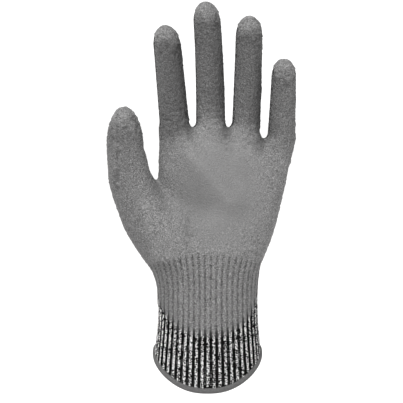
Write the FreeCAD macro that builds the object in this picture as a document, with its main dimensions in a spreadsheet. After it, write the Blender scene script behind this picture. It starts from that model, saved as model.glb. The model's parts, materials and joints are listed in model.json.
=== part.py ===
import FreeCAD, Part
import math
import os

import Sketcher

# Left-hand knitted work glove with a dipped palm, standing on its open end. Millimetres.
# +Z runs from the hand opening to the fingertips, -Y is the palm side, -X is the thumb side.
# The glove is a tube of knit with four finger tubes and a thumb tube. It is cut into rigid
# lengths between the joints, and into fold pieces at the joints, where the knit creases.

os.makedirs("parts", exist_ok=True)

doc = FreeCAD.newDocument("cut_resistant_glove")
dims = doc.addObject("Spreadsheet::Sheet", "dims")

GENERAL = {
    "wall": 1.2,               # thickness of the knit
    "coating": 0.4,            # thickness of the dipped skin over the knit
    "coating_edge": -2.0,      # y of the skin's edge, from the middle line of a side
    "fold_gap": 0.5,           # half the width of a fold piece at its hinge line
    "fold_reach": 2.0,         # how far a fold cutter stands out past the cloth
    "side_reach": 1.7,         # how far a cutter stands out beside a finger
    "root_depth": 12.0,        # how far a finger tube starts below its web
    "root_narrowing": 3.0,     # how much narrower it is there, so that it stays in the palm
    "web_gap": 36.0,           # x of the wall beside the lower web of the little finger
    "thumb_gap": -36.2,        # x of the clear slot between thumb and palm
    "finger_depth_ratio": 0.92,
    "finger_curl": 0.13,       # forward drift of a fingertip over its length
    "base_hinge_at": 0.10,     # hinge places as fractions of a finger's length
    "mid_hinge_at": 0.38,
    "tip_hinge_at": 0.69,
    "dome_at": 0.86,
    "base_flex": 40.0,         # degrees each hinge flexes, palm side
    "mid_flex": 80.0,
    "tip_flex": 48.0,
    "back_flex": 12.0,         # degrees a fold leaves free on the back of the hand
    "knuckle_flex": 50.0,
    "knuckle_z": 131.0,
    "wrist_flex": 35.0,
    "wrist_z": 42.0,
    "thumb_base_flex": 35.0,
    "thumb_tip_flex": 55.0,
    "thumb_tip_z": 167.2,
    "rim_radius": 48.4,        # the rim hangs lower at the front, along this arc
    "rim_axis_y": 14.0,
    "hem_height": 3.8,
    "hem_thickness": 0.5,
    "dip_front_z": 14.8,       # the dipped skin ends here at the front of the cuff
    "dip_slope": 53.7,         # and rises at this angle towards the sides
    "yarn_size": 0.6,
    "yarn_pitch": 5.0,
    "yarn_first_z": 8.0,
}
YARN_COUNT = 5

# Cross sections of the hand tube, lowest first: centre x, z, half width, half depth.
HAND_SECTIONS = {
    "hand_rim": (0.0, -26.0, 36.8, 27.8),
    "hand_cuff": (0.0, 10.0, 34.9, 25.4),
    "hand_upper_cuff": (0.0, 25.0, 33.9, 22.6),
    "hand_wrist": (0.0, 42.0, 33.4, 21.0),
    "hand_heel": (0.8, 61.0, 34.4, 18.9),
    "hand_palm": (5.7, 85.0, 38.7, 17.0),
    "hand_upper_palm": (8.8, 109.0, 41.5, 15.6),
    "hand_knuckles": (11.0, 131.0, 43.8, 14.2),
    "hand_finger_roots": (12.6, 145.0, 44.8, 12.2),
    "hand_above_web": (13.2, 156.0, 45.4, 10.0),
}

# Cross sections of the thumb, lowest first: centre x, centre y, z, half width, half depth.
THENAR_SECTIONS = {
    "thenar_wrist": (-8.0, -4.0, 50.0, 20.0, 14.0),
    "thenar_heel": (-29.5, -5.0, 80.0, 21.5, 15.0),
    "thenar_pad": (-43.3, -6.5, 101.0, 17.0, 14.0),
    "thenar_top": (-48.2, -7.5, 113.0, 15.6, 13.0),
    "thumb_base_hinge": (-51.8, -8.2, 126.0, 13.9, 12.0),
}
THUMB_SECTIONS = {
    "thumb_root": (-50.2, -7.8, 118.0, 14.6, 12.5),
    "thumb_base_hinge": (-51.8, -8.2, 126.0, 13.9, 12.0),
    "thumb_tip_hinge": (-54.4, -9.6, 144.0, 11.6, 11.0),
    "thumb_dome": (-54.8, -11.0, 155.0, 9.8, 9.4),
}

# Fingers: x and z of the web, x of the tip, share of the sideways lean taken straight from the
# web (the rest comes towards the tip), length, half width at the web and at the tip.
FINGERS = {
    "index": (-21.9, 153.0, -27.8, 1.0, 67.8, 9.8, 9.0),
    "middle": (1.7, 153.0, -1.7, 0.0, 83.0, 9.6, 8.8),
    "ring": (25.5, 153.0, 27.2, 1.6, 73.8, 9.2, 8.6),
    "little": (48.7, 145.0, 50.0, 2.0, 54.0, 9.0, 8.0),
}
FINGER_WORDS = ("web_x", "web_z", "tip_x", "lean_share", "length", "half_width", "tip_half_width")
BOX_DEPTH = 80.0    # a slicing box reaches this far in front of the hand and behind it


def fill_sheet():
    """Write every driving dimension to the sheet, one alias each."""
    rows = dict(GENERAL)
    for name, (centre_x, z, half_width, half_depth) in HAND_SECTIONS.items():
        rows[name + "_x"] = centre_x
        rows[name + "_z"] = z
        rows[name + "_half_width"] = half_width
        rows[name + "_half_depth"] = half_depth
    for name, values in {**THENAR_SECTIONS, **THUMB_SECTIONS}.items():
        for word, value in zip(("x", "y", "z", "half_width", "half_depth"), values):
            rows[f"{name}_{word}"] = value
    for finger, values in FINGERS.items():
        for word, value in zip(FINGER_WORDS, values):
            rows[f"{finger}_{word}"] = value
    for row, (name, value) in enumerate(rows.items(), start=1):
        dims.set(f"A{row}", name)
        dims.set(f"B{row}", str(value))
        dims.setAlias(f"B{row}", name)
    doc.recompute()


def bind(obj, **expressions):
    """Bind properties of obj to the sheet; a double underscore stands for a dot."""
    for prop, expression in expressions.items():
        obj.setExpression(prop.replace("__", "."), str(expression))
    return obj


def place(obj, x=0, y=0, z=0):
    return bind(obj, Placement__Base__x=x, Placement__Base__y=y, Placement__Base__z=z)


def box(name, x, y, z):
    """A box between two expressions on each axis."""
    solid = place(doc.addObject("Part::Box", name), x[0], y[0], z[0])
    return bind(
        solid,
        Length=f"({x[1]}) - ({x[0]})",
        Width=f"({y[1]}) - ({y[0]})",
        Height=f"({z[1]}) - ({z[0]})",
    )


def join(name, members):
    fused = doc.addObject("Part::MultiFuse", name)
    fused.Shapes = members
    return fused


def cut(name, base, tool):
    result = doc.addObject("Part::Cut", name)
    result.Base = base
    result.Tool = tool
    return result


def overlap(name, first, second):
    result = doc.addObject("Part::MultiCommon", name)
    result.Shapes = [first, second]
    return result


# --- sections and lofts -------------------------------------------------------------------

def ellipse_section(name, centre, half_width, half_depth, grow):
    """A level ellipse, larger or smaller than the cloth by grow."""
    section = doc.addObject("Part::Ellipse", name)
    bind(section, MajorRadius=f"{half_width} + {grow}", MinorRadius=f"{half_depth} + {grow}")
    return place(section, *centre)


def dome(name, centre, half_width, half_depth, top, grow):
    """Half an ellipsoid that closes a finger tube at its tip."""
    tip = doc.addObject("Part::Ellipsoid", name)
    tip.Angle1 = 0
    tip.Angle2 = 90
    bind(
        tip,
        Radius1=f"{top} - ({centre[2]}) + {grow}",
        Radius2=f"{half_width} + {grow}",
        Radius3=f"{half_depth} + {grow}",
    )
    return place(tip, *centre)


def loft(name, sections):
    solid = doc.addObject("Part::Loft", name)
    solid.Sections = sections
    solid.Solid = True
    return solid


def stadium_sketch(body, name, section, grow):
    """A level outline with flat palm and back and round sides, in the body's XY plane."""
    sketch = body.newObject("Sketcher::SketchObject", name)
    plane = next(item for item in body.Origin.OriginFeatures if item.Role == "XY_Plane")
    sketch.AttachmentSupport = [(plane, "")]
    sketch.MapMode = "FlatFace"
    centre_x, z, half_width, half_depth = HAND_SECTIONS[section]
    radius = half_depth
    reach = half_width - half_depth
    corners = [(-reach, radius), (reach, radius), (reach, -radius), (-reach, -radius)]
    points = [FreeCAD.Vector(x, y, 0) for x, y in corners]
    centres = [FreeCAD.Vector(reach, 0, 0), FreeCAD.Vector(-reach, 0, 0)]
    up = FreeCAD.Vector(0, 0, 1)
    right = Part.ArcOfCircle(Part.Circle(centres[0], up, radius), -math.pi / 2, math.pi / 2)
    left = Part.ArcOfCircle(Part.Circle(centres[1], up, radius), math.pi / 2, 3 * math.pi / 2)
    back_line = sketch.addGeometry(Part.LineSegment(points[0], points[1]))
    right_arc = sketch.addGeometry(right)
    palm_line = sketch.addGeometry(Part.LineSegment(points[2], points[3]))
    left_arc = sketch.addGeometry(left)
    sketch.addConstraint([
        Sketcher.Constraint("Tangent", back_line, 2, right_arc, 2),
        Sketcher.Constraint("Tangent", palm_line, 1, right_arc, 1),
        Sketcher.Constraint("Tangent", palm_line, 2, left_arc, 2),
        Sketcher.Constraint("Tangent", back_line, 1, left_arc, 1),
        Sketcher.Constraint("Equal", right_arc, left_arc),
        Sketcher.Constraint("PointOnObject", right_arc, 3, -1),
        Sketcher.Constraint("Symmetric", right_arc, 3, left_arc, 3, -1, 1),
    ])
    radius_rule = sketch.addConstraint(Sketcher.Constraint("Radius", right_arc, radius))
    reach_rule = sketch.addConstraint(Sketcher.Constraint("DistanceX", -1, 1, right_arc, 3, reach))
    sketch.setExpression(f"Constraints[{radius_rule}]", f"dims.{section}_half_depth + {grow}")
    sketch.setExpression(
        f"Constraints[{reach_rule}]", f"dims.{section}_half_width - dims.{section}_half_depth")
    sketch.setExpression("AttachmentOffset.Base.x", f"dims.{section}_x")
    sketch.setExpression("AttachmentOffset.Base.z", f"dims.{section}_z")
    return sketch


def hand_form(name, grow, sections=tuple(HAND_SECTIONS)):
    """A solid ruled loft through the hand sections, larger or smaller than the cloth by grow."""
    body = doc.addObject("PartDesign::Body", name)
    sketches = [stadium_sketch(body, f"{name}_{section}", section, grow) for section in sections]
    doc.recompute()
    solid = body.newObject("PartDesign::AdditiveLoft", name + "_loft")
    solid.Profile = sketches[0]
    solid.Sections = sketches[1:]
    solid.Ruled = True
    return body


# --- fingers and thumb --------------------------------------------------------------------

def finger_station(finger, fraction):
    """Centre, half width and half depth of a finger, as expressions, at a fraction of its length."""
    start = f"dims.{finger}_web_x"
    lean = f"(dims.{finger}_tip_x - dims.{finger}_web_x)"
    length = f"dims.{finger}_length"
    share = f"dims.{finger}_lean_share"
    x = f"{start} + {lean} * {fraction} * ({share} + (1 - {share}) * {fraction})"
    y = f"-dims.finger_curl * {length} * {fraction} * {fraction}"
    z = f"dims.{finger}_web_z + {length} * {fraction}"
    narrowing = f"(dims.{finger}_tip_half_width - dims.{finger}_half_width)"
    half_width = f"(dims.{finger}_half_width + {narrowing} * {fraction})"
    half_depth = f"({half_width} * dims.finger_depth_ratio)"
    return (x, y, z), half_width, half_depth


def section_station(name):
    centre = (f"dims.{name}_x", f"dims.{name}_y", f"dims.{name}_z")
    return centre, f"dims.{name}_half_width", f"dims.{name}_half_depth"


def root_station(finger):
    """The lowest section of a finger tube, inside the palm."""
    centre, half_width, half_depth = finger_station(finger, "0")
    x, y, z = centre
    low = f"dims.{finger}_web_z - dims.root_depth"
    return (x, y, low), f"{half_width} - dims.root_narrowing", f"{half_depth} - dims.root_narrowing"


def lofted(name, stations, grow):
    sections = []
    for number, (centre, half_width, half_depth) in enumerate(stations):
        section_name = f"{name}_section_{number}"
        sections.append(ellipse_section(section_name, centre, half_width, half_depth, grow))
    return loft(name, sections)


def closed_tube(name, stations, top, grow):
    """A solid finger shape: a loft through the stations with a dome on the last one."""
    centre, half_width, half_depth = stations[-1]
    barrel = lofted(name + "_barrel", stations, grow)
    cap = dome(name + "_cap", centre, half_width, half_depth, top, grow)
    return join(name, [barrel, cap])


def fold_cutter(name, station, half_length, palm_angle, back_angle):
    """A double wedge about a level hinge line along X, wide on the palm side and on the back."""
    centre, half_width, half_depth = station
    reach = f"({half_depth} + dims.coating + dims.fold_reach)"
    palm_side = doc.addObject("Part::Wedge", name + "_palm_side")
    back_side = doc.addObject("Part::Wedge", name + "_back_side")
    palm_half = f"(dims.fold_gap + {reach} * tan({palm_angle} / 2 * 1 deg))"
    back_half = f"(dims.fold_gap + {reach} * tan({back_angle} / 2 * 1 deg))"
    for wedge in (palm_side, back_side):
        bind(wedge, Xmin=f"-({half_length})", X2min=f"-({half_length})")
        bind(wedge, Xmax=half_length, X2max=half_length)
        place(wedge, *centre)
    bind(palm_side, Ymin=f"-{reach}", Ymax=0, Zmin=f"-{palm_half}", Zmax=palm_half)
    bind(palm_side, Z2min="-dims.fold_gap", Z2max="dims.fold_gap")
    bind(back_side, Ymin=0, Ymax=reach, Z2min=f"-{back_half}", Z2max=back_half)
    bind(back_side, Zmin="-dims.fold_gap", Zmax="dims.fold_gap")
    return join(name, [palm_side, back_side])


def segment_tube(digit, stations, top, hinges, lengths):
    """Cut one finger tube and its skin into fold pieces and rigid lengths.

    hinges maps a fold's name to its station and flex angle, lowest first.
    lengths names the rigid length above each hinge.
    """
    outer = closed_tube(digit + "_outer", stations, top, "0")
    inner = closed_tube(digit + "_inner", stations, top, "-dims.wall")
    skin_outer = closed_tube(digit + "_skin_outer", stations, top, "dims.coating")
    tube = cut(digit + "_tube", outer, inner)
    skin = cut(digit + "_skin", skin_outer, outer)
    widest = stations[0][1]
    half_length = f"{widest} + dims.side_reach"
    cutters = []
    for fold, (station, flex) in hinges.items():
        cutter = fold_cutter(f"{digit}_{fold}_cutter", station, half_length, flex, "dims.back_flex")
        cutters.append(cutter)
        subpart(overlap(f"{digit}_{fold}_piece", tube, cutter), f"{digit}_{fold}")
    all_cutters = join(digit + "_cutters", cutters)
    rigid_tube = cut(digit + "_rigid_tube", tube, all_cutters)
    rigid_skin = cut(digit + "_rigid_skin", skin, all_cutters)
    levels = [station[0][2] for station, flex in hinges.values()] + [f"{top} + dims.root_depth"]
    centres = [station[0] for station, flex in hinges.values()]
    for number, name in enumerate(lengths):
        centre_x, centre_y, bottom = centres[number]
        left = f"{centre_x} - ({half_length}) - dims.fold_reach"
        right = f"{centre_x} + {half_length} + dims.fold_reach"
        across = (left, right)
        depth = (f"-{BOX_DEPTH}", f"{BOX_DEPTH}")
        palm_side = (f"-{BOX_DEPTH}", f"{centre_y} + dims.coating_edge")
        rise = (bottom, levels[number + 1])
        slab = box(f"{digit}_{name}_slab", across, depth, rise)
        skin_slab = box(f"{digit}_{name}_skin_slab", across, palm_side, rise)
        subpart(overlap(f"{digit}_{name}_piece", rigid_tube, slab), f"{digit}_{name}")
        subpart(overlap(f"{digit}_{name}_skin_piece", rigid_skin, skin_slab), f"{digit}_{name}_coating")


def make_finger(finger):
    fractions = ("dims.base_hinge_at", "dims.mid_hinge_at", "dims.tip_hinge_at", "dims.dome_at")
    stations = [finger_station(finger, fraction) for fraction in fractions]
    hinges = {
        "base_fold": (stations[0], "dims.base_flex"),
        "mid_fold": (stations[1], "dims.mid_flex"),
        "tip_fold": (stations[2], "dims.tip_flex"),
    }
    top = f"(dims.{finger}_web_z + dims.{finger}_length)"
    all_stations = [finger_station(finger, "0")] + stations
    segment_tube(finger, all_stations, top, hinges, ("proximal", "medial", "distal"))


def make_thumb():
    stations = [section_station(name) for name in THUMB_SECTIONS]
    hinges = {
        "base_fold": (stations[1], "dims.thumb_base_flex"),
        "tip_fold": (stations[2], "dims.thumb_tip_flex"),
    }
    segment_tube("thumb", stations, "dims.thumb_tip_z", hinges, ("proximal", "distal"))


# --- palm and cuff ------------------------------------------------------------------------

def finger_stub(finger, name, grow):
    """The short length of a finger tube between the palm and the finger's first hinge."""
    stations = [root_station(finger), finger_station(finger, "dims.base_hinge_at")]
    return lofted(f"{finger}_{name}", stations, grow)


def glove_form(name, grow, trim):
    """The hand tube with its finger stubs and thumb base, as one solid."""
    form = cut(name + "_hand", hand_form(name + "_hand_form", grow), trim)
    thumb_base = lofted(name + "_thenar", [section_station(item) for item in THENAR_SECTIONS], grow)
    stubs = [finger_stub(finger, name + "_stub", grow) for finger in FINGERS]
    return join(name, [form, thumb_base] + stubs)


def web_trim(name, shrink):
    """The room above the lower web of the little finger, and above the other webs."""
    far = "200"
    depth = (f"-{BOX_DEPTH}", f"{BOX_DEPTH}")
    beside = box(
        name + "_beside_little",
        (f"dims.web_gap - {shrink}", far), depth, (f"dims.little_web_z - {shrink}", far))
    above = box(
        name + "_above_webs", (f"-{far}", far), depth, (f"dims.index_web_z - {shrink}", far))
    return join(name, [beside, above])


def hinge_across_hand(name, level, left, right, half_depth, palm_angle, back_angle):
    """A fold cutter right across the hand between x = left and x = right."""
    middle = f"(({left}) + ({right})) / 2"
    station = ((middle, "0", level), "0", half_depth)
    return fold_cutter(name, station, f"(({right}) - ({left})) / 2", palm_angle, back_angle)


def make_palm(shell, skin):
    """Cut the glove's shell into cuff, wrist fold, lower palm, knuckle fold and upper palm."""
    wide = "100"
    depth = (f"-{BOX_DEPTH}", f"{BOX_DEPTH}")
    palm_side = (f"-{BOX_DEPTH}", "dims.coating_edge")
    wrist = hinge_across_hand(
        "wrist_cutter", "dims.wrist_z", f"-{wide}", wide,
        "dims.hand_wrist_half_depth", "dims.wrist_flex", "dims.wrist_flex")
    knuckle = hinge_across_hand(
        "knuckle_cutter", "dims.knuckle_z", "dims.thumb_gap", wide,
        "dims.hand_knuckles_half_depth", "dims.knuckle_flex", "dims.back_flex")
    stub_cutters = []
    for finger in FINGERS:
        station = finger_station(finger, "dims.base_hinge_at")
        half_length = f"dims.{finger}_half_width + dims.side_reach"
        stub_cutters.append(fold_cutter(
            f"{finger}_stub_cutter", station, half_length, "dims.base_flex", "dims.back_flex"))
    thumb_station = section_station("thumb_base_hinge")
    stub_cutters.append(fold_cutter(
        "thumb_stub_cutter", thumb_station, "dims.thumb_base_hinge_half_width + dims.side_reach",
        "dims.thumb_base_flex", "dims.back_flex"))
    cutters = join("palm_cutters", [wrist, knuckle] + stub_cutters)
    rigid_shell = cut("rigid_shell", shell, cutters)
    rigid_skin = cut("rigid_skin", skin, cutters)

    subpart(overlap("wrist_fold_piece", shell, wrist), "wrist_fold")
    subpart(overlap("knuckle_fold_piece", shell, knuckle), "knuckle_fold")

    across = (f"-{wide}", wide)
    rises = {
        "lower_palm": [
            (across, ("dims.wrist_z", "dims.thenar_top_z")),
            ((f"-{wide}", "dims.thumb_gap"), ("dims.wrist_z", "dims.thumb_base_hinge_z")),
            (("dims.thumb_gap", wide), ("dims.wrist_z", "dims.knuckle_z")),
        ],
        "upper_palm": [(("dims.thumb_gap", wide), ("dims.knuckle_z", "dims.middle_web_z + dims.root_depth"))],
    }
    for name, blocks in rises.items():
        room = [box(f"{name}_room_{n}", x, depth, z) for n, (x, z) in enumerate(blocks)]
        front = [box(f"{name}_front_{n}", x, palm_side, z) for n, (x, z) in enumerate(blocks)]
        room_solid = join(name + "_room", room) if len(room) > 1 else room[0]
        front_solid = join(name + "_front", front) if len(front) > 1 else front[0]
        subpart(overlap(name + "_piece", rigid_shell, room_solid), name)
        subpart(overlap(name + "_skin_piece", rigid_skin, front_solid), name + "_coating")
    return rigid_shell, rigid_skin


def rim_cylinder(name, extra):
    """A cylinder along X whose top is the curved lower edge of the cuff."""
    width = "160"
    cylinder = doc.addObject("Part::Cylinder", name)
    cylinder.Placement = FreeCAD.Placement(
        FreeCAD.Vector(), FreeCAD.Rotation(FreeCAD.Vector(0, 1, 0), 90))
    bind(cylinder, Radius=f"dims.rim_radius + {extra}", Height=width)
    drop = "sqrt(dims.rim_radius * dims.rim_radius - dims.rim_axis_y * dims.rim_axis_y)"
    return place(cylinder, f"-{width} / 2", "dims.rim_axis_y", f"-{drop}")


def make_cuff(rigid_shell, rigid_skin, inner):
    """Cut the cuff free, with its hem band, its laid-in elastic yarns and the dipped skin."""
    cuff_sections = tuple(HAND_SECTIONS)[:4]
    wide = "100"
    below_wrist = box(
        "cuff_room", (f"-{wide}", wide), (f"-{BOX_DEPTH}", f"{BOX_DEPTH}"), (f"-{wide}", "dims.wrist_z"))
    rim = rim_cylinder("rim_cylinder", "0")
    above_hem = rim_cylinder("above_hem_cylinder", "dims.hem_height")

    hem_outer = hand_form("hem_outer", "dims.hem_thickness", cuff_sections)
    hem_wall = cut("hem_wall", hem_outer, inner)
    hem_zone = cut("hem_zone", above_hem, rim)
    subpart(overlap("hem_piece", hem_wall, hem_zone), "hem_band")

    yarn_outer = hand_form("yarn_outer", "dims.yarn_size - dims.wall", cuff_sections)
    yarn_wall = cut("yarn_wall", yarn_outer, inner)
    slabs = []
    for number in range(YARN_COUNT):
        low = f"dims.yarn_first_z + dims.yarn_pitch * {number}"
        level = (low, f"{low} + dims.yarn_size")
        slabs.append(box(
            f"yarn_slab_{number}", (f"-{wide}", wide), (f"-{BOX_DEPTH}", f"{BOX_DEPTH}"), level))
    yarns = overlap("yarn_pieces", yarn_wall, join("yarn_slabs", slabs))
    subpart(yarns, "elastic_yarns")

    cuff_wall = overlap("cuff_wall", rigid_shell, below_wrist)
    subpart(cut("cuff_piece", cuff_wall, join("cuff_cutters", [above_hem, yarns])), "cuff")

    dip_edge = doc.addObject("Part::Box", "dip_edge")
    bind(dip_edge, Length=f"2 * {wide}", Width=f"2 * {wide}", Height=wide)
    dip_edge.Placement = FreeCAD.Placement(
        FreeCAD.Vector(), FreeCAD.Rotation(FreeCAD.Vector(1, 0, 0), 1))
    bind(dip_edge, Placement__Rotation__Angle="dims.dip_slope")
    place(dip_edge, f"-{wide}", "-dims.hand_cuff_half_depth", "dims.dip_front_z")
    front = box(
        "cuff_front", (f"-{wide}", wide), (f"-{BOX_DEPTH}", "dims.coating_edge"),
        ("dims.dip_front_z", "dims.wrist_z"))
    dipped = overlap("cuff_dipped", rigid_skin, front)
    subpart(overlap("cuff_skin_piece", dipped, dip_edge), "cuff_coating")


# --- the whole glove ----------------------------------------------------------------------

subparts = []


def subpart(obj, label):
    obj.Label = label
    subparts.append(obj)
    return obj


def check_and_export():
    """Stop on any failed object or invalid shape, then write one STEP file per sub-part."""
    doc.recompute()
    failed = [obj.Name for obj in doc.Objects if "Invalid" in obj.State or "Error" in obj.State]
    if failed:
        raise RuntimeError("failed objects: " + ", ".join(failed))
    for obj in subparts:
        shape = obj.Shape
        if shape.isNull() or not shape.isValid() or not shape.Solids:
            raise RuntimeError("bad shape: " + obj.Label)
    for obj in subparts:
        obj.Shape.exportStep(f"parts/{obj.Label}.step")


def build():
    fill_sheet()
    outer = glove_form("glove_outer", "0", web_trim("outer_trim", "0"))
    inner = glove_form("glove_inner", "-dims.wall", web_trim("inner_trim", "dims.wall"))
    skin_outer = glove_form("skin_outer", "dims.coating", web_trim("skin_trim", "-dims.coating"))
    shell = cut("glove_shell", outer, inner)
    skin = cut("glove_skin", skin_outer, outer)
    rigid_shell, rigid_skin = make_palm(shell, skin)
    make_cuff(rigid_shell, rigid_skin, inner)
    for finger in FINGERS:
        make_finger(finger)
    make_thumb()
    check_and_export()


build()
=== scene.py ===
import json
import math

import bpy
import numpy as np
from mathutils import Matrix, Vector


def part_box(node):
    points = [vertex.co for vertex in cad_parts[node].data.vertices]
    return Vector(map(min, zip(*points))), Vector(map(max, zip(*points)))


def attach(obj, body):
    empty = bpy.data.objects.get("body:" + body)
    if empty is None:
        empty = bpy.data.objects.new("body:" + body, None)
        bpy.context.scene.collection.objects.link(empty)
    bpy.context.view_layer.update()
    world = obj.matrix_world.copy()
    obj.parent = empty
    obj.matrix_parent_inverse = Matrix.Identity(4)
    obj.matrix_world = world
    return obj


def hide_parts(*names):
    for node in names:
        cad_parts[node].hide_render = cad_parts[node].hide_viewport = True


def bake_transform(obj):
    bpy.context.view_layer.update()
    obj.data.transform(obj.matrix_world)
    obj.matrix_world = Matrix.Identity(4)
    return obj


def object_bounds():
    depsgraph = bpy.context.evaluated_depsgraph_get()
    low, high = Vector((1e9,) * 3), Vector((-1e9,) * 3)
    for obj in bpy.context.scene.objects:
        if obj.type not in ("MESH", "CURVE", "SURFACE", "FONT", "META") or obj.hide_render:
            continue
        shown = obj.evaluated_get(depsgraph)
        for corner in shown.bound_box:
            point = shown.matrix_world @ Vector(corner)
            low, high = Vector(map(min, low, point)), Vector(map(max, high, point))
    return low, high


# Left-hand knitted work glove with a dipped palm. The outer skin is one smooth surface, worked
# out from the frame's joints and a few cross sections, then given its ribs, wrinkles and dip,
# and cut into pieces so that no piece crosses more than one joint.
# Shapes are worked out in millimetres and made in metres.
# +Z runs from the opening to the fingertips, -Y is the palm side, -X is the thumb side.

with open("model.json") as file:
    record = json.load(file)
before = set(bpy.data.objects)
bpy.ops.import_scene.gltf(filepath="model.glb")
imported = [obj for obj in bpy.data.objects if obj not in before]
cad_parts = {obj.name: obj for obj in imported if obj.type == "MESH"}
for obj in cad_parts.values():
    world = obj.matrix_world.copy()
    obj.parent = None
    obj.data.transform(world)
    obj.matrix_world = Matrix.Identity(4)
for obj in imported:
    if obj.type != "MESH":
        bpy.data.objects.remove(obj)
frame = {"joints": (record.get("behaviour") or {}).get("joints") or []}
cad_low, cad_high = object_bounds()

MM = 0.001
JOINTS = {joint["name"]: joint for joint in frame["joints"]}
FINGERS = ("index", "middle", "ring", "little")
GRID_STEP = 1.0          # spacing of the grid that the skin is first drawn from
RIB_COUNT = 50


def joint_place(name):
    return np.array(JOINTS[name]["pos_m"]) / MM


def node_span(node):
    low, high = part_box(node)
    return np.array(low) / MM, np.array(high) / MM


# --- small maths ---------------------------------------------------------------------------

def smooth_step(value, low, high):
    share = np.clip((value - low) / (high - low), 0.0, 1.0)
    return share * share * (3.0 - 2.0 * share)


def bump(value, centre, width):
    return np.exp(-((value - centre) / width) ** 2)


def slanted_bump(x, z, start, end, width, fade):
    """A ridge along the line from start to end, fading out past its ends."""
    run = np.array(end) - np.array(start)
    length = math.hypot(*run)
    along = ((x - start[0]) * run[0] + (z - start[1]) * run[1]) / length
    aside = ((x - start[0]) * run[1] - (z - start[1]) * run[0]) / length
    past = np.maximum(np.maximum(-along, along - length), 0.0)
    return bump(aside, 0.0, width) * bump(past, 0.0, fade)


def smooth_curve(at, knots, values):
    """A smooth curve through the knots, level beyond its ends."""
    knots = np.asarray(knots, float)
    values = np.asarray(values, float)
    slopes = np.gradient(values, knots)
    at = np.clip(at, knots[0], knots[-1])
    left = np.clip(np.searchsorted(knots, at) - 1, 0, len(knots) - 2)
    gap = knots[left + 1] - knots[left]
    t = (at - knots[left]) / gap
    t2, t3 = t * t, t * t * t
    return (
        values[left] * (2 * t3 - 3 * t2 + 1)
        + slopes[left] * gap * (t3 - 2 * t2 + t)
        + values[left + 1] * (3 * t2 - 2 * t3)
        + slopes[left + 1] * gap * (t3 - t2)
    )


def smooth_min(first, second, width):
    share = np.clip(0.5 + 0.5 * (second - first) / width, 0.0, 1.0)
    return second * (1 - share) + first * share - width * share * (1 - share)


def smooth_max(first, second, width):
    return -smooth_min(-first, -second, width)


NOISE_VALUES = 4096      # a power of two
HASH_PRIMES = (73856093, 19349663, 83492791)


def lattice_noise(points, size, seed):
    """Smooth noise from -1 to 1, with lumps of about the given size (one number or three)."""
    table = np.random.default_rng(seed).random(NOISE_VALUES) * 2 - 1
    scaled = points / np.asarray(size, float)
    cell = np.floor(scaled).astype(np.int64)
    part = scaled - cell
    part = part * part * (3 - 2 * part)
    total = np.zeros(len(points))
    for corner in range(8):
        step = np.array([corner & 1, (corner >> 1) & 1, (corner >> 2) & 1])
        weight = np.prod(np.where(step == 1, part, 1 - part), axis=1)
        key = np.bitwise_xor.reduce((cell + step) * HASH_PRIMES, axis=1)
        total += weight * table[key & (NOISE_VALUES - 1)]
    return total


# --- the glove's form ----------------------------------------------------------------------

# Hand tube, lowest first: z, left x, right x, half depth, squareness of the section.
HAND_SECTIONS = (
    (-4.0, -36.6, 35.8, 27.4, 2.4),
    (9.0, -35.1, 34.9, 25.4, 2.4),
    (20.0, -33.9, 34.0, 23.6, 2.4),
    (41.0, -33.3, 33.4, 21.2, 2.4),
    (53.0, -33.6, 34.0, 19.8, 2.5),
    (61.0, -33.8, 35.2, 19.0, 2.6),
    (69.0, -34.0, 38.2, 18.3, 2.75),
    (77.0, -33.6, 41.3, 17.6, 2.9),
    (85.0, -33.0, 43.9, 17.0, 3.0),
    (101.0, -32.6, 47.9, 16.0, 3.1),
    (117.0, -32.6, 51.5, 15.0, 3.1),
    (131.0, -32.8, 54.1, 13.6, 3.0),
    (141.0, -32.5, 55.8, 11.7, 2.8),
    (147.0, -32.4, 56.7, 10.3, 2.6),
    (153.0, -32.3, 57.4, 9.1, 2.4),
    (162.0, -32.3, 57.8, 8.6, 2.3),
)
# Thumb and the pad at its base, lowest first: z, left x, right x, middle y, half depth.
THUMB_SECTIONS = (
    (46.0, -31.0, 6.0, -3.0, 13.0),
    (57.0, -36.6, 3.0, -4.0, 14.4),
    (65.0, -42.4, -2.0, -4.6, 15.2),
    (77.0, -50.0, -8.5, -5.4, 15.4),
    (85.0, -54.6, -13.0, -5.8, 15.2),
    (93.0, -57.9, -17.5, -6.2, 14.9),
    (101.0, -60.6, -23.5, -6.7, 14.3),
    (109.0, -63.2, -29.3, -7.2, 13.6),
    (117.0, -65.2, -34.6, -7.8, 13.0),
    (125.0, -65.7, -37.8, -8.3, 12.4),
    (133.0, -66.2, -39.7, -8.8, 11.9),
    (141.0, -66.4, -41.9, -9.5, 11.3),
)
THUMB_TOP = 167.4
THUMB_LEAN = (-0.01, -0.10)   # how far it leans left and forwards in each mm above the sections
THUMB_ROOT_END = 8.0          # it ends this far below its first section, inside the hand
THUMB_WEB = 112.0             # where it parts from the hand
# Half widths of the fingers at the web and where the tip starts to round off.
FINGER_WIDTHS = {
    "index": (10.2, 9.4),
    "middle": (10.0, 9.2),
    "ring": (9.6, 9.0),
    "little": (9.4, 8.3),
}
FINGER_DEPTH_RATIO = 0.93
FINGER_TURN = 0.14            # how far the palm side of each finger faces left
TIP_ROUNDING = 1.5            # height of a rounded fingertip over its half width
TIP_GAP = 1.1                 # a fingertip ends this far below the top of its CAD node
ROOT_DEPTH = 12.0             # a finger's middle line is followed this far below its web
ROOT_END = 14.0               # and its tube ends this far below it
ROOT_TAPER = 0.3              # loss of half width in each mm below the web
WEBS = {"index": 152.6, "middle": 152.6, "ring": 152.6, "little": 145.0}
SIDE_SHIFT = {"index": 0.0, "middle": 0.0, "ring": -0.5, "little": -0.6}
THUMB_BLEND = 7.0             # width over which the thumb runs into the hand
FINGER_BLEND = 4.5            # and over which the fingers do
PALM_TOP_BLEND = 5.0          # how round the palm's top edge is
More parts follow.
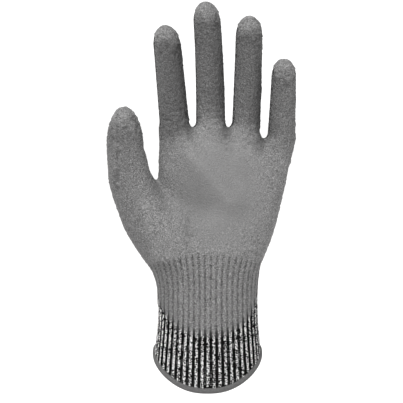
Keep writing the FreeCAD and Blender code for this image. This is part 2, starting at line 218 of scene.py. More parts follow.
FARTHEST_STEP = 1.5           # the most that one round of settling moves a point


def finger_line(finger):
    """Quadratics for x and y along a finger, through its three hinges."""
    places = np.array([joint_place(f"{finger}_{part}_flex") for part in ("base", "mid", "tip")])
    across = np.polyfit(places[:, 2], places[:, 0] + SIDE_SHIFT[finger], 2)
    forward = np.polyfit(places[:, 2], places[:, 1], 2)
    return across, forward


FINGER_LINES = {finger: finger_line(finger) for finger in FINGERS}
FINGER_TOPS = {finger: node_span(finger + "_distal_coating")[1][2] - TIP_GAP for finger in FINGERS}


def finger_level(points, finger):
    """The height of each point, kept to the length of the finger's middle line."""
    return np.clip(points[:, 2], WEBS[finger] - ROOT_DEPTH, FINGER_TOPS[finger])


def tube_distance(points, middle_x, middle_y, half_width, half_depth, rise, rounding, turn):
    """Rough distance to an upright tube with a rounded top.

    rise is each point's height above the last full section, and rounding is the height of the
    rounded top. A turn above zero slants the palm side to face left.
    """
    across = points[:, 0] - middle_x
    forward = points[:, 1] - middle_y + turn * across
    up = np.maximum(rise, 0.0)
    size = np.sqrt((across / half_width) ** 2 + (forward / half_depth) ** 2 + (up / rounding) ** 2)
    slope = np.sqrt(
        (across / half_width ** 2) ** 2
        + (forward / half_depth ** 2) ** 2
        + (up / rounding ** 2) ** 2
    )
    return size * (size - 1.0) / np.maximum(slope, 1e-6)


def finger_distance(points, finger):
    across, forward = FINGER_LINES[finger]
    top = FINGER_TOPS[finger]
    web = WEBS[finger]
    at_web, at_tip = FINGER_WIDTHS[finger]
    rounding = TIP_ROUNDING * at_tip
    level = finger_level(points, finger)
    share = np.clip((level - web) / (top - rounding - web), 0.0, 1.0)
    half_width = at_web + (at_tip - at_web) * share - ROOT_TAPER * np.maximum(web - level, 0.0)
    distance = tube_distance(
        points, np.polyval(across, level), np.polyval(forward, level),
        half_width, half_width * FINGER_DEPTH_RATIO,
        points[:, 2] - (top - rounding), rounding, FINGER_TURN)
    return np.maximum(distance, (web - ROOT_END) - points[:, 2])


def thumb_distance(points):
    heights, *columns = np.array(THUMB_SECTIONS).T
    first, last = heights[0], heights[-1]
    level = np.clip(points[:, 2], first, THUMB_TOP)
    left, right, middle_y, half_depth = (smooth_curve(level, heights, column) for column in columns)
    above = np.maximum(level - last, 0.0)
    distance = tube_distance(
        points, (left + right) / 2 + THUMB_LEAN[0] * above, middle_y + THUMB_LEAN[1] * above,
        (right - left) / 2, half_depth, points[:, 2] - last, THUMB_TOP - last, 0.0)
    return np.maximum(distance, first - THUMB_ROOT_END - points[:, 2])


def palm_pads(points):
    """How far the palm side swells or sinks: pads below the fingers, heel, crest and creases."""
    x, z = points[:, 0], points[:, 2]
    pads = 0.0
    for finger in FINGERS:
        across, _ = FINGER_LINES[finger]
        middle = np.polyval(across, WEBS[finger])
        pads = pads + 0.8 * bump(x, middle, 10.5) * bump(z, WEBS[finger] - 16.0, 10.0)
    heel = 1.2 * bump(x, 27.0, 20.0) * bump(z, 84.0, 26.0)
    crest = 4.0 * slanted_bump(x, z, (-14.0, 139.0), (15.0, 107.0), 7.5, 10.0)
    crease = 2.2 * slanted_bump(x, z, (-31.0, 113.0), (-2.0, 99.0), 8.5, 9.0)
    thumb_pad = 3.6 * bump(x, -25.0, 11.0) * bump(z, 86.0, 14.0)
    groove = 1.6 * bump(x, -11.5, 3.5) * bump(z, 85.0, 11.0)
    return pads + heel + crest - crease + thumb_pad - groove


def hand_distance(points):
    heights, *columns = np.array(HAND_SECTIONS).T
    left, right, half_depth, power = (
        smooth_curve(points[:, 2], heights, column) for column in columns)
    half_width = (right - left) / 2
    across = np.abs(points[:, 0] - (left + right) / 2) / half_width
    front = smooth_step(-points[:, 1], 0.0, 10.0)
    depth_here = half_depth + front * palm_pads(points)
    forward = np.abs(points[:, 1]) / depth_here
    size = (across ** power + forward ** power + 1e-9) ** (1 / power)
    slope = size ** (1 - power) * np.sqrt(
        (across ** (power - 1) / half_width) ** 2 + (forward ** (power - 1) / depth_here) ** 2)
    distance = (size - 1.0) / np.maximum(slope, 1.0 / 40.0)
    by_little = smooth_step(points[:, 0], 30.0, 37.5)
    top = WEBS["index"] + (WEBS["little"] - WEBS["index"]) * by_little
    return smooth_max(distance, points[:, 2] - top, PALM_TOP_BLEND)


def glove_distance(points):
    hand = smooth_min(hand_distance(points), thumb_distance(points), THUMB_BLEND)
    fingers = np.min([finger_distance(points, finger) for finger in FINGERS], axis=0)
    return smooth_min(hand, fingers, FINGER_BLEND)


def glove_slope(points):
    """Gradient of glove_distance, by small steps each way."""
    step = 0.05
    slope = np.empty_like(points)
    for axis in range(3):
        shift = np.zeros(3)
        shift[axis] = step
        ahead, behind = glove_distance(points + shift), glove_distance(points - shift)
        slope[:, axis] = (ahead - behind) / (2 * step)
    return slope


def settle(points, rounds=2):
    """Move points onto the glove's surface."""
    for _ in range(rounds):
        slope = glove_slope(points)
        square = np.maximum((slope ** 2).sum(axis=1), 0.05)
        shift = np.clip(glove_distance(points) / square, -FARTHEST_STEP, FARTHEST_STEP)
        points = points - slope * shift[:, None]
    return points


# --- drawing the skin ----------------------------------------------------------------------

def field_on_grid(low, high):
    """glove_distance at each point of a grid between two corners, and the grid's first point."""
    axes = [np.arange(low[i], high[i] + GRID_STEP, GRID_STEP) for i in range(3)]
    field = np.empty([len(axis) for axis in axes])
    x, y = np.meshgrid(axes[0], axes[1], indexing="ij")
    for layer, z in enumerate(axes[2]):
        points = np.stack([x.ravel(), y.ravel(), np.full(x.size, z)], axis=1)
        field[:, :, layer] = glove_distance(points).reshape(x.shape)
    return field, np.array([axis[0] for axis in axes])


def draw_surface(field, origin):
    """Quads around the zero level of a field, one corner in each cell that it crosses."""
    inside = field < 0
    count = np.zeros([n - 1 for n in field.shape], int)
    offsets = [(i, j, k) for i in (0, 1) for j in (0, 1) for k in (0, 1)]
    for i, j, k in offsets:
        nx, ny, nz = count.shape
        count += inside[i:i + nx, j:j + ny, k:k + nz]
    crossed = (count > 0) & (count < 8)
    cells = np.argwhere(crossed)
    number = np.full(count.shape, -1, int)
    number[crossed] = np.arange(len(cells))
    total = np.zeros((len(cells), 3))
    hits = np.zeros(len(cells))
    for axis in range(3):
        for i, j in ((0, 0), (0, 1), (1, 0), (1, 1)):
            start = np.insert([i, j], axis, 0)
            end = np.insert([i, j], axis, 1)
            first = field[tuple((cells + start).T)]
            second = field[tuple((cells + end).T)]
            cut = (first < 0) != (second < 0)
            share = np.where(cut, first / np.where(cut, first - second, 1.0), 0.0)
            place = start + share[:, None] * (end - start)
            total += place * cut[:, None]
            hits += cut
    points = origin + (cells + total / hits[:, None]) * GRID_STEP
    quads = []
    for axis in range(3):
        ahead = np.take(inside, range(1, field.shape[axis]), axis)
        behind = np.take(inside, range(0, field.shape[axis] - 1), axis)
        edges = np.argwhere(ahead != behind)
        outward = behind[tuple(edges.T)]
        others = [other for other in range(3) if other != axis]
        keep = np.ones(len(edges), bool)
        for other in others:
            keep &= (edges[:, other] > 0) & (edges[:, other] < field.shape[other] - 1)
        edges, outward = edges[keep], outward[keep]
        corners = []
        for i, j in ((-1, -1), (0, -1), (0, 0), (-1, 0)):
            shift = np.zeros(3, int)
            shift[others[0]], shift[others[1]] = i, j
            corners.append(number[tuple((edges + shift).T)])
        quad = np.stack(corners, axis=1)
        flip = outward if axis == 1 else ~outward
        quad[flip] = quad[flip][:, ::-1]
        quads.append(quad)
    return points, np.concatenate(quads)


def quad_sides(quads):
    """The two ends of each quad's sides, the lower number first: all first sides, and so on."""
    sides = np.concatenate([quads[:, [i, (i + 1) % 4]] for i in range(4)])
    sides.sort(axis=1)
    return sides


def point_normals(points, quads):
    corners = points[quads]
    cross = np.cross(corners[:, 2] - corners[:, 0], corners[:, 3] - corners[:, 1])
    normals = np.zeros_like(points)
    for corner in range(4):
        for axis in range(3):
            normals[:, axis] += np.bincount(quads[:, corner], cross[:, axis], len(points))
    length = np.linalg.norm(normals, axis=1)
    return normals / np.maximum(length, 1e-12)[:, None]


def relax(points, quads, rounds, share=0.5):
    """Even out the mesh along the surface. Points on its open edge stay."""
    edges, uses = np.unique(quad_sides(quads), axis=0, return_counts=True)
    degree = np.bincount(edges.ravel(), minlength=len(points)).astype(float)
    rim = np.unique(edges[uses == 1])
    for _ in range(rounds):
        total = np.zeros_like(points)
        for axis in range(3):
            total[:, axis] = (
                np.bincount(edges[:, 0], points[edges[:, 1], axis], len(points))
                + np.bincount(edges[:, 1], points[edges[:, 0], axis], len(points))
            )
        shift = total / degree[:, None] - points
        normals = point_normals(points, quads)
        shift -= normals * (shift * normals).sum(axis=1)[:, None]
        shift[rim] = 0.0
        points = points + share * shift
    return points


def split_quads(points, quads):
    """Each quad becomes four."""
    edges, which = np.unique(quad_sides(quads), axis=0, return_inverse=True)
    which = which.reshape(-1)
    middles = points[edges].mean(axis=1)
    centres = points[quads].mean(axis=1)
    count = len(quads)
    edge_ids = [len(points) + which[i * count:(i + 1) * count] for i in range(4)]
    centre_ids = len(points) + len(edges) + np.arange(count)
    parts = []
    for i in range(4):
        parts.append(np.stack([quads[:, i], edge_ids[i], centre_ids, edge_ids[i - 1]], axis=1))
    return np.concatenate([points, middles, centres]), np.concatenate(parts)


DRAWN_BOX = ((-72.0, -33.0, 0.4), (64.0, 33.0, 240.0))     # its lower face opens the cuff


def draw_skin():
    """The glove's plain surface, open at the cuff, before its details."""
    points, quads = draw_surface(*field_on_grid(*DRAWN_BOX))
    points = settle(points)
    points = settle(relax(points, quads, 4))
    points, quads = split_quads(points, quads)
    points = settle(relax(settle(points, 1), quads, 3))
    return points, quads


# --- what lies where on the skin -----------------------------------------------------------

RIM_ARC = 48.4           # radius of the arc that the cuff's rim follows, seen from the side
RIM_ARC_Y = 14.0
RIM_FADE = 44.0          # the rim's drop has died out at this height
HEM_HEIGHT = 3.4
DIP_LOW = (-24.5, 14.8)  # y and z where the dip line crosses the front of the cuff
DIP_SLOPE = 1.36
SIDE_EDGE = -3.1         # y of the coating's edge along the sides, from the middle of a finger
RIBS_TOP = 73.2


def rim_height(y):
    inside = np.maximum(RIM_ARC ** 2 - (y - RIM_ARC_Y) ** 2, 0.0)
    return np.sqrt(inside) - math.sqrt(RIM_ARC ** 2 - RIM_ARC_Y ** 2)


def drop_rim(points):
    """Lower the front of the cuff to its curved rim. The rest of the glove stays."""
    share = np.clip(1.0 - (points[:, 2] - HEM_HEIGHT) / (RIM_FADE - HEM_HEIGHT), 0.0, 1.0) ** 1.6
    moved = points.copy()
    moved[:, 2] += rim_height(points[:, 1]) * share
    return moved


def above_dip_line(lowered):
    """How far each point of the cuff is above the edge of the dip."""
    return lowered[:, 2] - DIP_LOW[1] - (lowered[:, 1] - DIP_LOW[0]) * DIP_SLOPE


def cuff_points(radius, turns, levels):
    """Points at a distance from the cuff's middle. A turn of 0 faces the palm side."""
    return np.stack([radius * np.sin(turns), -radius * np.cos(turns), levels], axis=1)


def cuff_radius(turns, levels, most, halvings):
    """Distance from the cuff's middle out to the skin, at each turn and level."""
    low, high = np.full(turns.shape, 5.0), np.full(turns.shape, most)
    for _ in range(halvings):
        middle = (low + high) / 2
        outside = glove_distance(cuff_points(middle, turns, levels)) > 0
        high = np.where(outside, middle, high)
        low = np.where(outside, low, middle)
    return (low + high) / 2


def round_the_cuff(points):
    """Share of the way round the cuff's section, by length along it, at each point's level."""
    level_step = 3.0
    levels = np.arange(-2.0, 82.0, level_step)
    turns = np.linspace(-math.pi, math.pi, 241)
    radius = cuff_radius(np.tile(turns, len(levels)), np.repeat(levels, len(turns)), 75.0, 16)
    radius = radius.reshape(len(levels), len(turns))
    x, y = radius * np.sin(turns), -radius * np.cos(turns)
    steps = np.hypot(np.diff(x, axis=1), np.diff(y, axis=1))
    length = np.concatenate([np.zeros((len(levels), 1)), np.cumsum(steps, axis=1)], axis=1)
    front = len(turns) // 2
    length = (length - length[:, [front]]) / length[:, [-1]]
    turn = np.arctan2(points[:, 0], -points[:, 1])
    row = np.clip((points[:, 2] - levels[0]) / level_step, 0, len(levels) - 1.001)
    column = (turn + math.pi) / (2 * math.pi) * (len(turns) - 1)
    row0, column0 = row.astype(int), np.clip(column.astype(int), 0, len(turns) - 2)
    row_part, column_part = row - row0, column - column0

    def along(table_row):
        left, right = length[table_row, column0], length[table_row, column0 + 1]
        return left * (1 - column_part) + right * column_part

    return along(row0) * (1 - row_part) + along(row0 + 1) * row_part


def nearest_finger(points):
    """Index of the finger nearest to each point, and the y of that finger's middle line."""
    gaps, middles = [], []
    for finger in FINGERS:
        across, forward = FINGER_LINES[finger]
        level = finger_level(points, finger)
        gaps.append(np.abs(points[:, 0] - np.polyval(across, level)))
        middles.append(np.polyval(forward, level))
    nearest = np.argmin(gaps, axis=0)
    return nearest, np.choose(nearest, middles)


def on_thumb(points):
    """True on the thumb above its web, and not on the index finger beside or over it."""
    side = node_span("thumb_proximal")[1][0] + 2.2
    x, z = points[:, 0], points[:, 2]
    return (x < side) & (z > THUMB_WEB) & (z < THUMB_TOP + 3.0)


def digit_tops(points, nearest):
    """Height of the tip of the thumb or of the nearest finger, for each point."""
    tops = np.choose(nearest, [FINGER_TOPS[finger] for finger in FINGERS])
    return np.where(on_thumb(points), THUMB_TOP, tops)


def coating_share(points, lowered):
    """1 on the dipped coating, 0 on bare knit."""
    x, y, z = points.T
    nearest, finger_middle = nearest_finger(points)
    thumb = np.array(THUMB_SECTIONS)
    thumb_middle = smooth_curve(z, thumb[:, 0], thumb[:, 3])
    # The edge follows the middle of the thumb at the left, and of the fingers above the webs.
    by_web = smooth_step(z, 100.0, 116.0)
    on_left = smooth_step(-x, 24.0 + 9.5 * by_web, 40.0 - 1.5 * by_web)
    on_left = on_left * smooth_step(z, 60.0, 90.0) * (z < THUMB_TOP + 1.0)
    above_web = smooth_step(z, 140.0, 156.0)
    edge = SIDE_EDGE + finger_middle * above_web * (1 - on_left) + thumb_middle * on_left * 0.8
    # It runs round to the back at each tip.
    tops = digit_tops(points, nearest)
    edge = edge + 9.0 * smooth_step(z, tops - 9.0, tops - 2.5)
    wander = 0.7 * lattice_noise(lowered, 9.0, 11) + 0.35 * lattice_noise(lowered, 2.6, 12)
    side = smooth_step(edge + wander - y, -0.35, 0.35)
    ragged = 1.1 * lattice_noise(lowered, 3.4, 13) + 0.5 * lattice_noise(lowered, 1.3, 14)
    return side * smooth_step(above_dip_line(lowered) + ragged, -0.5, 0.5)


def rib_relief(points, share):
    """Rib height from 0 in a valley to 1 on a ridge, and how strongly the ribs show."""
    x, y, z = points.T
    phase = (share * RIB_COUNT + 0.5) % 1.0
    wave = 0.5 - 0.5 * np.cos(2 * math.pi * phase)
    height = wave ** 0.55
    # The ribs end in an arch on the palm side and lower on the back.
    top = RIBS_TOP - 8.0 * (x / 38.0) ** 2 * smooth_step(-y, -4.0, 14.0)
    top = top - 3.5 * smooth_step(y, 0.0, 16.0)
    return height, 1.0 - smooth_step(z, top - 4.0, top)


# --- details on the skin -------------------------------------------------------------------

COATING_THICKNESS = 0.35
RIB_DEPTH = 1.25
COATED_RIB_DEPTH = 0.42
COURSE = 1.33            # height of one row of stitches
WALE = 1.9               # width of one column of stitches above the ribs
WALES_START = 74.5       # height from which columns are that wide
FINGER_HALF = 9.5
# Painted shade on the fingers' dip: for each finger, how much darker its dip is painted than the
# palm's, how much more so towards its right side, and the height at which that difference ends.
FINGER_PAINTED_SHADE = (0.61, 0.56, 0.55, 0.43)
FINGER_LEANS = (0.10, 0.15, 0.14, -0.10)
LEAN_ENDS = (400.0, 192.0, 178.0, 400.0)
CROTCHES = ((-13.0, 152.0), (11.5, 152.0), (34.0, 144.5))     # x and z between two fingers


def across_finger(points, nearest):
    """-1 on the left of the nearest finger, 1 on its right."""
    shares = []
    for finger in FINGERS:
        middle = np.polyval(FINGER_LINES[finger][0], finger_level(points, finger))
        shares.append((points[:, 0] - middle) / FINGER_HALF)
    return np.clip(np.choose(nearest, shares), -1.0, 1.0)


def painted_dip_shade(points, nearest, tops, ribbed):
    """Painted shade on the dip: darker along the fingers, in the crotches, along two creases and at
    the left, fading towards the fingertips.
    """
    x, z = points[:, 0], points[:, 2]
    # Painted shade: the fingers are painted darker from about their webs up, more so towards their
    # right sides and less so near their tips.
    starts = np.interp(x, (-32.0, -22.0, -12.0, -4.0, 16.0, 30.0, 48.0),
                       (128.0, 130.0, 136.0, 146.0, 143.0, 134.0, 124.0))
    on_finger = smooth_step(z, starts, starts + 28.0)
    on_tip = smooth_step(z, tops - 16.0, tops - 4.0)
    lean_ends = np.choose(nearest, LEAN_ENDS)
    lean = np.choose(nearest, FINGER_LEANS) * (1 - smooth_step(z, lean_ends, lean_ends + 25.0))
    shade = np.choose(nearest, FINGER_PAINTED_SHADE) * (1 - 0.72 * on_tip)
    darkening = (shade + lean * across_finger(points, nearest)) * on_finger
    # Painted shadow in the crotches between the fingers.
    for crotch, web in CROTCHES:
        darkening = np.maximum(darkening, 0.62 * bump(x, crotch, 4.5) * bump(z, web, 7.0))

    # Painted shade along two creases on the left of the palm.
    crease = slanted_bump(x, z, (-31.0, 116.0), (-10.0, 104.0), 11.0, 11.0)
    crease = crease + 0.8 * slanted_bump(x, z, (-28.0, 137.0), (-9.0, 112.0), 8.0, 8.0)
    # Painted shade on the left of the hand and of the cuff, and a little over the whole cuff.
    inland = np.interp(z, (65.0, 110.0), (24.0, 36.0))
    left = smooth_step(-x - inland, 0.0, 20.0) * (1 - smooth_step(z, 150.0, 164.0))
    left_of_cuff = smooth_step(-x, 12.0, 32.0)
    in_hand = 0.16 * np.minimum(crease, 1.2) + 0.32 * left * (1 - ribbed)
    in_cuff = 0.24 * left_of_cuff * ribbed + 0.07 * ribbed
    # On the thumb the painted shade grows towards its tip instead.
    on_thumb_tip = 0.16 * smooth_step(z, 134.0, 152.0)
    return 1.0 - np.where(on_thumb(points), on_thumb_tip, darkening) - in_hand - in_cuff


def wrinkles_and_pebbles(points, coated, ribbed, rough):
    """Height of the dip's wrinkles, pebbles and specks, strongest away from the ribs."""
    pebbles = lattice_noise(points, 1.25, 23)
    unribbed = 1.0 - ribbed
    on_digits = smooth_step(points[:, 2], 128.0, 150.0)
    patches = smooth_step(lattice_noise(points, 16.0, 21), -0.35, 0.5)
    creases = 0.28 * patches * (0.15 + 0.85 * on_digits)
    creases = creases * lattice_noise(points, (3.0, 3.0, 1.4), 22)
    swell = 0.05 * lattice_noise(points, 14.0, 24)
    specks = smooth_step(lattice_noise(points, 1.6, 28), 0.30, 0.62)
    specks = 0.17 * rough * specks * smooth_step(lattice_noise(points, 15.0, 29), -0.4, 0.3)
    wrinkles = coated * unribbed * (creases + swell + specks)
    return wrinkles + 0.21 * coated * (0.7 + 0.3 * unribbed) * rough * pebbles


def beads_at_tips(points, coated, tops):
    """Height of the beads of dip in a band below each tip and on the thumb's outer side."""
    below_top = tops - points[:, 2]
    band = bump(below_top + 4.0 * lattice_noise(points, 7.0, 30), 12.0, 5.0)
    band = band * (points[:, 2] > 100.0)
    beads = smooth_step(np.abs(lattice_noise(points, (3.2, 3.2, 1.9), 25)), 0.0, 0.5)
    thumb_edge = on_thumb(points) * bump(points[:, 0], -59.0, 2.6)
    lumps = 0.7 * thumb_edge * lattice_noise(points, 2.1, 26)
    return coated * (0.45 * band * (beads - 0.6) + lumps)


def skin_details(points, normals):
    """Every detail of the skin: where each point moves to, and what the materials read."""
    lowered = drop_rim(points)
    share = round_the_cuff(points)
    coated = coating_share(points, lowered)
    height, ribbed = rib_relief(points, share)
    rib_depth = RIB_DEPTH + (COATED_RIB_DEPTH - RIB_DEPTH) * coated
    ribs = (height - 1.0) * rib_depth * ribbed
    coat = (coated - 1.0) * COATING_THICKNESS * (1 - 0.5 * ribbed)
    # The dip is smooth in the middle of the palm and rougher all round.
    from_middle = np.hypot(points[:, 0] - 8.0, 0.8 * (points[:, 2] - 115.0))
    rough = 0.3 + 0.9 * smooth_step(from_middle, 14.0, 44.0)
    nearest, _ = nearest_finger(points)
    tops = digit_tops(points, nearest)
    uneven = wrinkles_and_pebbles(points, coated, ribbed, rough)
    uneven = uneven + beads_at_tips(points, coated, tops)
    knit = (1 - coated) * 0.10 * lattice_noise(points, 1.25, 23)

    moved = lowered + normals * (ribs + coat + uneven + knit)[:, None]
    narrow = points[:, 2] < WALES_START
    layers = {
        "rest": lowered,
        "wale": np.where(narrow, share * RIB_COUNT + 0.5, points[:, 0] / WALE),
        "ribbed": ribbed,
        "film": np.clip(above_dip_line(lowered) / 16.0 + 0.5, 0.0, 1.0),
        # painted shade of the dip, which darkens the coating's colour
        "tone": painted_dip_shade(points, nearest, tops, ribbed),
        "rough": rough,
        # Height of the dip's unevenness, which the coating turns into painted shade in hollows and
        # painted highlights on high spots.
        "painted_relief": np.clip(0.5 + uneven * 1.4, 0.0, 1.0),
    }
    return moved, layers, coated


# --- meshes --------------------------------------------------------------------------------

def new_mesh(name, points, quads):
    """A smooth-shaded mesh object from points in millimetres and quads."""
    mesh = bpy.data.meshes.new(name)
    mesh.vertices.add(len(points))
    mesh.vertices.foreach_set("co", (points * MM).astype(np.float32).ravel())
    mesh.loops.add(quads.size)
    mesh.loops.foreach_set("vertex_index", quads.astype(np.int32).ravel())
    mesh.polygons.add(len(quads))
    mesh.polygons.foreach_set("loop_start", np.arange(0, quads.size, 4, dtype=np.int32))
    mesh.update(calc_edges=True)
    mesh.validate()
    mesh.shade_smooth()
    obj = bpy.data.objects.new(name, mesh)
    bpy.context.scene.collection.objects.link(obj)
    return obj


def add_layers(obj, layers):
    for name, values in layers.items():
        values = np.asarray(values, np.float32)
        kind, key = ("FLOAT_VECTOR", "vector") if values.ndim == 2 else ("FLOAT", "value")
        layer = obj.data.attributes.new(name, kind, "POINT")
        layer.data.foreach_set(key, values.ravel())


def cut_piece(name, skin, chosen, material):
    """One piece of the skin: the chosen faces, with the whole skin's normals kept."""
    points, quads, normals, layers = skin
    faces = quads[chosen]
    used, renumbered = np.unique(faces, return_inverse=True)
    obj = new_mesh(name, points[used], renumbered.reshape(faces.shape))
    add_layers(obj, {key: values[used] for key, values in layers.items()})
    obj.data.normals_split_custom_set_from_vertices(normals[used].astype(np.float32))
    obj.data.materials.append(material)
    return obj


# --- materials -----------------------------------------------------------------------------

class Nodes:
    """A short way to build a node tree."""

    def __init__(self, name):
        self.material = bpy.data.materials.new(name)
        self.material.use_nodes = True
        self.tree = self.material.node_tree
        self.shader = self.tree.nodes["Principled BSDF"]

    def link(self, value, socket):
        """Join another node's output to a socket, or set it to a number or a colour."""
        if isinstance(value, bpy.types.NodeSocket):
            self.tree.links.new(value, socket)
        elif isinstance(value, (tuple, list)):
            socket.default_value = tuple(value) + (1.0,) * (4 - len(value))
        else:
            socket.default_value = value

    def layer(self, name, output="Fac"):
        node = self.tree.nodes.new("ShaderNodeAttribute")
        node.attribute_name = name
        return node.outputs[output]

    def rest_place(self):
        """Place on the cloth in millimetres, which stays with it when it bends."""
        return self.layer("rest", "Vector")

    def maths(self, operation, first, second=0.0):
        node = self.tree.nodes.new("ShaderNodeMath")
        node.operation = operation
        self.link(first, node.inputs[0])
        self.link(second, node.inputs[1])
        return node.outputs[0]

    def combine(self, x, y, z):
        node = self.tree.nodes.new("ShaderNodeCombineXYZ")
        for value, socket in zip((x, y, z), node.inputs):
            self.link(value, socket)
        return node.outputs[0]

    def noise(self, vector, scale, detail):
        node = self.tree.nodes.new("ShaderNodeTexNoise")
        node.inputs["Scale"].default_value = scale
        node.inputs["Detail"].default_value = detail
        self.link(vector, node.inputs["Vector"])
        return node.outputs["Fac"]

    def random(self, vector):
        """A random number for each whole-numbered place."""
        node = self.tree.nodes.new("ShaderNodeTexWhiteNoise")
        node.noise_dimensions = "3D"
        self.link(vector, node.inputs["Vector"])
        return node.outputs["Value"]

    def ramp(self, value, low, high, from_value=0.0, to_value=1.0):
        """A smooth change from from_value at low to to_value at high."""
        node = self.tree.nodes.new("ShaderNodeMapRange")
        node.interpolation_type = "SMOOTHSTEP"
        for key, number in zip(("From Min", "From Max", "To Min", "To Max"),
                               (low, high, from_value, to_value)):
            self.link(number, node.inputs[key])
        self.link(value, node.inputs["Value"])
        return node.outputs["Result"]

    def mix(self, share, first, second):
        node = self.tree.nodes.new("ShaderNodeMix")
        node.data_type = "RGBA"
        self.link(share, node.inputs["Factor"])
        self.link(first, node.inputs["A"])
        self.link(second, node.inputs["B"])
        return next(out for out in node.outputs if out.type == "RGBA")

    def height_on_cloth(self):
        split = self.tree.nodes.new("ShaderNodeSeparateXYZ")
        self.link(self.rest_place(), split.inputs[0])
        return split.outputs[2]

    def relief(self, height, depth):
        """Bump of the given depth in millimetres."""
        node = self.tree.nodes.new("ShaderNodeBump")
        node.inputs["Distance"].default_value = depth * MM
        self.link(height, node.inputs["Height"])
        self.link(node.outputs["Normal"], self.shader.inputs["Normal"])

    def finish(self, colour, roughness, specular):
        self.link(colour, self.shader.inputs["Base Color"])
        self.link(roughness, self.shader.inputs["Roughness"])
        self.shader.inputs["Specular IOR Level"].default_value = specular
        return self.material


def grey(level):
    """A faintly warm grey."""
    return (level * 1.008, level, level * 0.998, 1.0)


BLACK_YARN, WHITE_YARN = grey(0.006), grey(0.58)
# The black yarn between two ribs, painted darker still as shade in the valleys.
RIB_VALLEY_SHADE = grey(0.003)
DARK_YARN_AND_EDGE_SHADE = grey(0.012)       # the dark yarn that most of the knit above the ribs shows, made near black also as painted shade for the dark edges of the fingers
DIP_TONES = (grey(0.113), grey(0.119))
# Painted shade for the grain's pits and the dip's hollows, painted highlights for the grain's bumps
# and the dip's high spots.
PAINTED_PIT_SHADE, PAINTED_GRAIN_HIGHLIGHT, PAINTED_HIGH_SPOT_LIGHT = grey(0.045), grey(0.25), grey(0.22)
# Painted shade for the notches between the stitches of the dipped ribs.
NOTCH_SHADE = grey(0.01)       # between two ribs of the dipped cuff
STITCH_SLANT = 1.1            # in rows across half a column


def stitches(nodes):
    """Rows of V-shaped stitches: three values for each place on the cloth.

    They are 0 in the middle of a column to 1 between two, 0 in a row to 1 between two, and a
    random number for each leg of a stitch.
    """
    wale = nodes.layer("wale")
    column = nodes.maths("FLOOR", wale)
    across = nodes.maths("SUBTRACT", nodes.maths("FRACT", wale), 0.5)
    aside = nodes.maths("MULTIPLY", nodes.maths("ABSOLUTE", across), 2.0)
    rows = nodes.maths("DIVIDE", nodes.height_on_cloth(), COURSE)
    slanted = nodes.maths("SUBTRACT", rows, nodes.maths("MULTIPLY", aside, STITCH_SLANT))
    part = nodes.maths("SUBTRACT", nodes.maths("FRACT", slanted), 0.5)
    gap = nodes.maths("MULTIPLY", nodes.maths("ABSOLUTE", part), 2.0)
    side = nodes.maths("SIGN", across)
    tone = nodes.random(nodes.combine(column, nodes.maths("FLOOR", slanted), side))
    return aside, gap, tone


def melange_tone(nodes):
    """Black and white yarn: its colour and its relief. Stitches are flecked; the valleys between
    ribs are black yarn painted darker still as shade, and the knit above the ribs is dark yarn made
    darker also as painted shade for the fingers' dark edges.
    """
    aside, gap, random = stitches(nodes)
    fibre = nodes.maths("MULTIPLY", nodes.noise(nodes.rest_place(), 1.5, 0.0), 1.6)
    light = nodes.maths("ADD", nodes.maths("MULTIPLY", random, 0.38), fibre)
    light = nodes.maths("SUBTRACT", light, nodes.ramp(gap, 0.25, 0.95, 0.0, 0.2))
    yarn = nodes.mix(nodes.ramp(light, 0.88, 1.02), BLACK_YARN, WHITE_YARN)
    # Dark yarn over most of the knit above the ribs, near black also as painted shade along the
    # fingers' edges.
    jersey = nodes.mix(0.8, yarn, DARK_YARN_AND_EDGE_SHADE)
    # Painted shade in the valleys between ribs, over the black yarn there.
    ribs = nodes.mix(nodes.ramp(aside, 0.34, 0.56), yarn, RIB_VALLEY_SHADE)
    relief = nodes.maths("SUBTRACT", light, nodes.ramp(aside, 0.3, 0.9, 0.0, 0.6))
    return nodes.mix(nodes.layer("ribbed"), jersey, ribs), relief


def coating_tone(nodes):
    """Matte grey dip: its colour and its relief. Painted shade darkens its pits, hollows, notches
    and fingers, and painted highlights lighten its grain's bumps and high spots.
    """
    place = nodes.rest_place()
    aside, gap, _ = stitches(nodes)
    rough, painted_relief = nodes.layer("rough"), nodes.layer("painted_relief")
    grain = nodes.noise(place, 1.4, 1.0)
    mottle = nodes.noise(place, 0.07, 2.0)
    tone = nodes.mix(nodes.ramp(mottle, 0.35, 0.65), *DIP_TONES)
    # The grain is also the relief: painted shade in its pits and painted highlight on its bumps,
    # where the dip is rough.
    shaded_pits = nodes.maths("MULTIPLY", nodes.ramp(grain, 0.25, 0.5, 0.85, 0.0), rough)
    lit_bumps = nodes.maths("MULTIPLY", nodes.ramp(grain, 0.5, 0.75, 0.0, 0.7), rough)
    tone = nodes.mix(shaded_pits, tone, PAINTED_PIT_SHADE)
    tone = nodes.mix(lit_bumps, tone, PAINTED_GRAIN_HIGHLIGHT)
    # Painted shade in the hollows of the dip and painted highlights on its high spots.
    tone = nodes.mix(nodes.ramp(painted_relief, 0.1, 0.45, 0.5, 0.0), tone, PAINTED_PIT_SHADE)
    tone = nodes.mix(nodes.ramp(painted_relief, 0.62, 0.95, 0.0, 0.35), tone, PAINTED_HIGH_SPOT_LIGHT)
    # Painted shade in the notches between stitches at the sides of the dipped ribs.
    notch = nodes.ramp(gap, 0.3, 0.9, 0.25, 1.0)
    notch = nodes.maths("MULTIPLY", nodes.ramp(aside, 0.45, 0.9), notch)
    notch = nodes.maths("MULTIPLY", notch, nodes.ramp(grain, 0.35, 0.6, 1.0, 0.4))
    notch = nodes.maths("MULTIPLY", notch, nodes.layer("ribbed"))
    tone = nodes.mix(notch, tone, NOTCH_SHADE)
    # Painted shade along the fingers, in the crotches and at the left.
    tone = nodes.mix(nodes.layer("tone"), grey(0.0), tone)
    return tone, nodes.maths("SUBTRACT", grain, notch)


